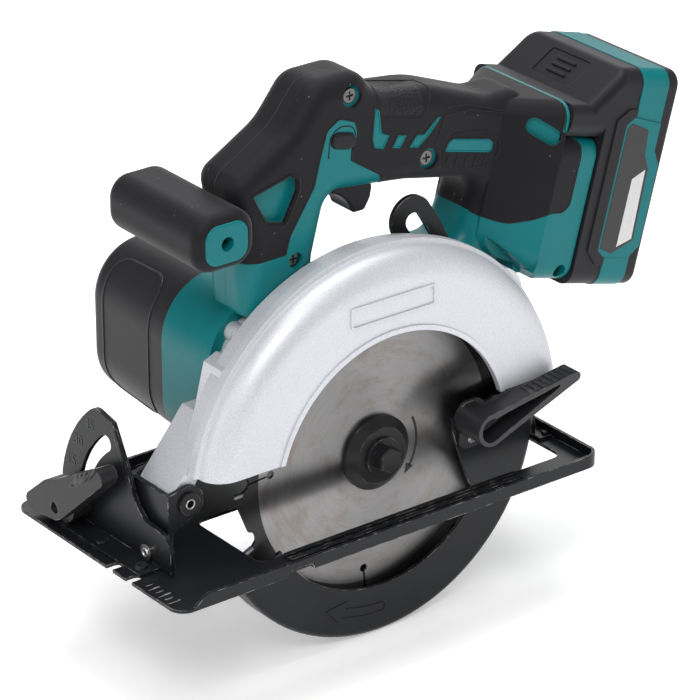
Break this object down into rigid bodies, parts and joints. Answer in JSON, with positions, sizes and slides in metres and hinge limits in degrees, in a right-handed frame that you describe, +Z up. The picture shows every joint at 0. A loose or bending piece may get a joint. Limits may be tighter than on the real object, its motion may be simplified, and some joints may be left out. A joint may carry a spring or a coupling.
{
  "type": "circular saw",
  "caption": "Cordless circular saw with blade guards, a tilting base plate, a depth guide, a geared motor, a loop handle and a slide-off battery.",
  "frame": {"origin": "on the plane of the sole's underside, in the blade's middle plane, straight below the arbor at full depth", "axes": "+X from the front of the base towards the battery, +Z up from the sole, the blade side faces -Y and the motor lies towards +Y"},
  "size_m": [0.3248, 0.167, 0.281],
  "materials": {
    "cast": "sparkle silver lacquer, satin",
    "black_sheet": "black powder coat, satin",
    "teal_plastic": "fine matt texture",
    "black_plastic": "fine matt texture",
    "black_rubber": "soft matt overmold",
    "blade_steel": "ground in rings",
    "bright_steel": "turned",
    "black_oxide": "black oxide, satin",
    "carbide": "ground",
    "copper": "enamelled wire",
    "brass_part": "bright",
    "ferrite": "matt",
    "carbon": "matt",
    "core_steel": "stamped stack",
    "cell_wrap": "shrink wrap",
    "white_plastic": "moulded"
  },
  "bodies": {
    "saw_housing": {"upper_guard": "cast", "gear_housing": "cast", "bearing_plate": "cast", "bearings": "bright_steel", "guard_circlip": "bright_steel", "guard_return_spring": "bright_steel", "spacer_post": "cast", "clamshell_left": "teal_plastic", "clamshell_right": "teal_plastic", "grip_overmold_left": "black_rubber", "grip_overmold_right": "black_rubber", "housing_screws": "bright_steel", "front_grip": "black_rubber", "front_grip_core": "teal_plastic", "motor_cap": "black_plastic", "motor_can": "bright_steel", "motor_magnets": "ferrite", "carbon_brushes": "carbon", "switch_body": "black_plastic", "terminal_block": "black_plastic", "depth_bolt": "bright_steel"},
    "blade_and_spindle": {"saw_blade": "blade_steel", "carbide_tips": "carbide", "inner_flange": "black_oxide", "outer_flange": "black_oxide", "blade_bolt": "black_oxide", "spindle": "bright_steel", "spindle_gear": "bright_steel"},
    "layshaft": {"intermediate_gear": "bright_steel"},
    "rotor": {"rotor_shaft": "bright_steel", "rotor_core": "core_steel", "rotor_windings": "copper", "commutator": "brass_part", "cooling_fan": "white_plastic"},
    "guard": {"lower_guard": "black_sheet", "guard_lever": "black_sheet", "lever_rivets": "bright_steel"},
    "carrier": {"pivot_bracket": "black_sheet", "depth_pivot_pin": "bright_steel", "depth_guide": "black_sheet", "bevel_pins": "bright_steel", "bevel_bolt": "bright_steel"},
    "base": {"base_plate": "black_sheet", "bevel_quadrant": "black_sheet", "rear_bevel_ear": "black_sheet", "base_rivets": "bright_steel"},
    "bevel_clamp": {"bevel_lever": "black_plastic"},
    "depth_clamp": {"depth_lever": "black_plastic"},
    "trigger": {"trigger": "black_plastic"},
    "lock_off": {"lock_off_button": "black_plastic"},
    "spindle_lock": {"spindle_lock_button": "black_plastic"},
    "battery": {"battery_case": "black_plastic", "battery_band": "teal_plastic", "battery_end_plate": "black_plastic", "battery_side_panels": "black_plastic", "battery_screws": "bright_steel", "battery_cells": "cell_wrap", "cell_holders": "white_plastic", "battery_contacts": "brass_part"},
    "latch": {"latch_button": "black_plastic"}
  },
  "joints": [
    {"name": "blade_spin", "type": "hinge", "parent": "saw_housing", "child": "blade_and_spindle", "pos_m": [0, 0, 0.026], "axis": [0, 1, 0], "continuous": true},
    {"name": "layshaft_spin", "type": "hinge", "parent": "saw_housing", "child": "layshaft", "pos_m": [-0.01699, 0.03, 0.04698], "axis": [0, 1, 0], "continuous": true},
    {"name": "rotor_spin", "type": "hinge", "parent": "saw_housing", "child": "rotor", "pos_m": [-0.03398, 0.08, 0.06797], "axis": [0, 1, 0], "continuous": true},
    {"name": "lower_guard_swing", "type": "hinge", "parent": "saw_housing", "child": "guard", "pos_m": [0, 0, 0.026], "axis": [0, -1, 0], "range_deg": [0, 100], "stiffness_Nm_per_rad": 0.12, "springref_deg": -57.3},
    {"name": "depth_swing", "type": "hinge", "parent": "saw_housing", "child": "carrier", "pos_m": [-0.108, 0.015, 0.032], "axis": [0, 1, 0], "range_deg": [0, 30]},
    {"name": "bevel_tilt", "type": "hinge", "parent": "carrier", "child": "base", "pos_m": [-0.12, 0.01, 0.0075], "axis": [-1, 0, 0], "range_deg": [0, 28]},
    {"name": "bevel_clamp_turn", "type": "hinge", "parent": "carrier", "child": "bevel_clamp", "pos_m": [-0.13, 0.0637, 0.01314], "axis": [1, 0, 0], "range_deg": [0, 35]},
    {"name": "depth_clamp_turn", "type": "hinge", "parent": "saw_housing", "child": "depth_clamp", "pos_m": [0.067, 0.026, 0.032], "axis": [0, -1, 0], "range_deg": [0, 40]},
    {"name": "trigger_pull", "type": "hinge", "parent": "saw_housing", "child": "trigger", "pos_m": [-0.008, 0.03, 0.165], "axis": [0, -1, 0], "range_deg": [0, 10], "stiffness_Nm_per_rad": 0.3, "springref_deg": -17.19},
    {"name": "lock_off_push", "type": "slide", "parent": "saw_housing", "child": "lock_off", "axis": [0, 1, 0], "range_m": [0, 0.003], "stiffness_N_per_m": 400, "springref_m": -0.002},
    {"name": "spindle_lock_push", "type": "slide", "parent": "saw_housing", "child": "spindle_lock", "axis": [-1, 0, 0], "range_m": [0, 0.0022], "stiffness_N_per_m": 500, "springref_m": -0.003},
    {"name": "battery_slide_off", "type": "slide", "parent": "saw_housing", "child": "battery", "axis": [0.2588, 0, 0.9659], "range_m": [0, 0.075]},
    {"name": "latch_press", "type": "slide", "parent": "battery", "child": "latch", "axis": [0.5, 0, -0.866], "range_m": [0, 0.0015], "stiffness_N_per_m": 500, "springref_m": -0.002}
  ],
  "couplings": [
    {"joint": "layshaft_spin", "follows": "blade_spin", "ratio": -2.375},
    {"joint": "rotor_spin", "follows": "blade_spin", "ratio": 4.75}
  ]
}
